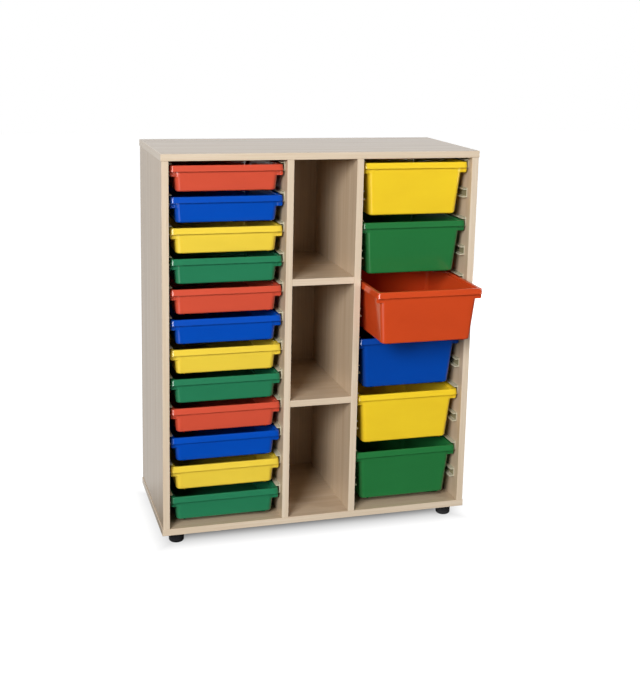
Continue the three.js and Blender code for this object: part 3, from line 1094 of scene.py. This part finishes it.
class TRAYUNIT_OT_deep_trays(bpy.types.Operator):
    """Moulds the deep trays of the right bay"""

    bl_idname = "tray_unit.deep_trays"
    bl_label = "Deep trays"

    def execute(self, context):
        set_trays("deep", DEEP_TRAYS, DEEP_FIRST)
        return {"FINISHED"}


# Stage

def shown_white(tree, way, front, behind):
    """How white the studio shows itself in a direction from the unit: 1 to the camera and through clear
    materials, to gloss from one share in front of the unit to another behind it, and 0 to other light."""
    rays = node(tree, "ShaderNodeLightPath").outputs
    clear = node(
        tree, "ShaderNodeMath", {0: rays["Is Camera Ray"], 1: rays["Is Transmission Ray"]}, operation="MAXIMUM"
    ).outputs[0]
    level = node(tree, "ShaderNodeVectorMath", {0: way}, operation="NORMALIZE").outputs[0]
    back = node(tree, "ShaderNodeVectorMath", {0: level, 1: (0, 1, 0)}, operation="DOT_PRODUCT").outputs["Value"]
    gloss = reach(tree, back, 0.05, 0.6, front, behind)
    seen = node(tree, "ShaderNodeMath", {0: rays["Is Glossy Ray"], 1: gloss}, operation="MULTIPLY").outputs[0]
    return node(tree, "ShaderNodeMath", {0: clear, 1: seen}, operation="MAXIMUM").outputs[0]


def depth_under(tree, place):
    """How far a place on the floor lies inside the cabinet's outline."""
    low, high = box_of("bottom_panel")
    middle = (low + high) / 2
    half = (high - low) / 2
    away = node(tree, "ShaderNodeVectorMath", {0: place, 1: (middle.x, middle.y, 0)}, operation="SUBTRACT").outputs[0]
    size = node(tree, "ShaderNodeVectorMath", {0: away}, operation="ABSOLUTE").outputs[0]
    inside = node(tree, "ShaderNodeVectorMath", {0: (half.x, half.y, 0), 1: size}, operation="SUBTRACT").outputs[0]
    sides = node(tree, "ShaderNodeSeparateXYZ", {0: inside}).outputs
    return node(tree, "ShaderNodeMath", {0: sides["X"], 1: sides["Y"]}, operation="MINIMUM").outputs[0]


def floor_material():
    """Pale floor that shows white and keeps the unit's shadow: its glow is painted down under the unit into a shadow,
    over the real shadow that its grey catches.
    """
    studio = unit().studio
    material = bpy.data.materials.new("studio_floor")
    material.use_nodes = True
    tree = material.node_tree
    shader = tree.nodes["Principled BSDF"]
    rays = node(tree, "ShaderNodeLightPath").outputs
    tint = blend_colour(tree, rays["Is Glossy Ray"], (0.22, 0.22, 0.22, 1), (0.04, 0.04, 0.04, 1))
    tree.links.new(tint, shader.inputs["Base Color"])
    shader.inputs["Roughness"].default_value = 1
    shader.inputs["Specular IOR Level"].default_value = 0
    place = node(tree, "ShaderNodeTexCoord").outputs["Object"]
    # Painted shadow: the glow falls off from a little outside the cabinet's outline to darkest in under it
    shade = reach(tree, depth_under(tree, place), -studio.shade_outside, studio.shade_inside)
    bent = node(tree, "ShaderNodeMath", {0: shade, 1: 2}, operation="POWER").outputs[0]
    glow = node(tree, "ShaderNodeMath", {0: 1, 1: bent}, operation="SUBTRACT").outputs[0]
    white = shown_white(tree, place, studio.front_gloss, studio.floor_gloss)
    strength = node(tree, "ShaderNodeMath", {0: glow, 1: white}, operation="MULTIPLY").outputs[0]
    shader.inputs["Emission Color"].default_value = (1, 1, 1, 1)
    tree.links.new(strength, shader.inputs["Emission Strength"])
    return material


def light_world():
    """Even soft light on the unit, and white where the world itself is seen."""
    world = bpy.data.worlds.new("studio")
    bpy.context.scene.world = world
    world.use_nodes = True
    tree = world.node_tree
    way = node(tree, "ShaderNodeTexCoord").outputs["Object"]
    rays = node(tree, "ShaderNodeLightPath").outputs
    lighting = node(
        tree, "ShaderNodeMath", {0: rays["Is Diffuse Ray"], 1: unit().studio.ambient}, operation="MULTIPLY"
    ).outputs[0]
    white = shown_white(tree, way, unit().studio.sky_gloss, 1.0)
    strength = node(tree, "ShaderNodeMath", {0: white, 1: lighting}, operation="MAXIMUM").outputs[0]
    back = tree.nodes["Background"]
    back.inputs["Color"].default_value = (1, 1, 1, 1)
    tree.links.new(strength, back.inputs["Strength"])


def round_unit(azimuth, elevation, distance):
    """A place round the middle of the unit, its azimuth taken from the front to the right."""
    flat = distance * math.cos(math.radians(elevation))
    return MIDDLE + Vector((
        flat * math.sin(math.radians(azimuth)),
        -flat * math.cos(math.radians(azimuth)),
        distance * math.sin(math.radians(elevation)),
    ))


def lamp(name, place, size, power, target=MIDDLE):
    """A soft box that looks at a target."""
    clear_selection()
    bpy.ops.object.light_add(type="AREA", location=place)
    light = bpy.context.active_object
    light.name = name
    light.rotation_euler = (place - target).to_track_quat("Z", "Y").to_euler()
    light.data.shape = "RECTANGLE"
    light.data.size, light.data.size_y = size
    light.data.energy = power
    return light


def light_only(light):
    """Keeps a soft box out of the gloss, which would burn out on the boards from some sides."""
    light.visible_glossy = False


def gloss_only(light):
    """Lets a soft box show only as a highlight on the trays."""
    light.visible_diffuse = False
    trays = bpy.data.collections.new(f"{light.name}_trays")
    for piece in bpy.context.scene.objects:
        if piece.name.endswith("_moulding"):
            trays.objects.link(piece)
    light.light_linking.receiver_collection = trays


def set_camera():
    """The camera at the photograph's viewing angle."""
    studio = unit().studio
    clear_selection()
    bpy.ops.object.camera_add(location=studio.eye, rotation=studio.turn)
    camera = bpy.context.active_object
    camera.name = "camera"
    camera.data.lens = studio.lens
    camera.data.sensor_width = 36
    camera.data.shift_x, camera.data.shift_y = studio.shift
    bpy.context.scene.camera = camera


class TRAYUNIT_OT_stage(bpy.types.Operator):
    """Sets the floor, the lamps, the even light and the camera"""

    bl_idname = "tray_unit.stage"
    bl_label = "Studio"

    def execute(self, context):
        studio = unit().studio
        clear_selection()
        bpy.ops.mesh.primitive_plane_add(size=24)
        floor = named(bpy.context.active_object, "studio_floor")
        floor.data.materials.append(floor_material())
        light_world()
        light_only(lamp("soft_box", round_unit(-38, 22, 7), (2.7, 2.7), studio.key_power))
        light_only(lamp("fill_box", round_unit(52, 20, 4.2), (0.7, 1.2), studio.fill_power))
        light_only(lamp("back_box", round_unit(133, 0, 3.6), (2.0, 1.0), studio.back_power))
        light_only(lamp("top_box", Vector((0, 0.1, 3.5)), (1.2, 0.8), studio.top_power))
        gloss_only(lamp("strip_box", round_unit(-27, 10, 3.2), (2.4, 1.7), studio.strip_power))
        gloss_only(lamp("spark_box", round_unit(54, 8, 3.5), (0.35, 1.9), studio.spark_power))
        pool = Vector((-1.34, -1.78, 5 * MM))
        gloss_only(lamp("floor_pool", pool, (1.1, 2.8), studio.pool_power, target=pool + Vector((0, 0, 1))))
        set_camera()
        context.scene.view_settings.view_transform = "Standard"
        return {"FINISHED"}


# Add-on

OPERATORS = (
    TRAYUNIT_OT_boards,
    TRAYUNIT_OT_nails,
    TRAYUNIT_OT_feet,
    TRAYUNIT_OT_runners,
    TRAYUNIT_OT_shallow_trays,
    TRAYUNIT_OT_deep_trays,
    TRAYUNIT_OT_stage,
)


class TRAYUNIT_PT_panel(bpy.types.Panel):
    """Lists the steps that make the unit"""

    bl_label = "Tray Unit"
    bl_idname = "TRAYUNIT_PT_panel"
    bl_space_type = "VIEW_3D"
    bl_region_type = "UI"
    bl_category = "Tray Unit"

    def draw(self, context):
        for operator in OPERATORS:
            self.layout.operator(operator.bl_idname)


SETTINGS = (BoardSizes, FootSizes, RunnerSizes, TraySizes, Finishes, Studio, TrayUnit)
CLASSES = (*SETTINGS, *OPERATORS, TRAYUNIT_PT_panel)


def register():
    """Registers the classes and the unit's settings."""
    for item in CLASSES:
        bpy.utils.register_class(item)
    bpy.types.Scene.tray_unit = PointerProperty(type=TrayUnit)


def unregister():
    """Takes the settings and the classes away again."""
    del bpy.types.Scene.tray_unit
    for item in reversed(CLASSES):
        bpy.utils.unregister_class(item)


def main():
    """Makes the unit step by step."""
    register()
    bpy.ops.tray_unit.boards()
    bpy.ops.tray_unit.nails()
    bpy.ops.tray_unit.feet()
    bpy.ops.tray_unit.runners()
    bpy.ops.tray_unit.shallow_trays()
    bpy.ops.tray_unit.deep_trays()
    bpy.ops.tray_unit.stage()
    clear_selection()


if __name__ == "__main__":
    main()
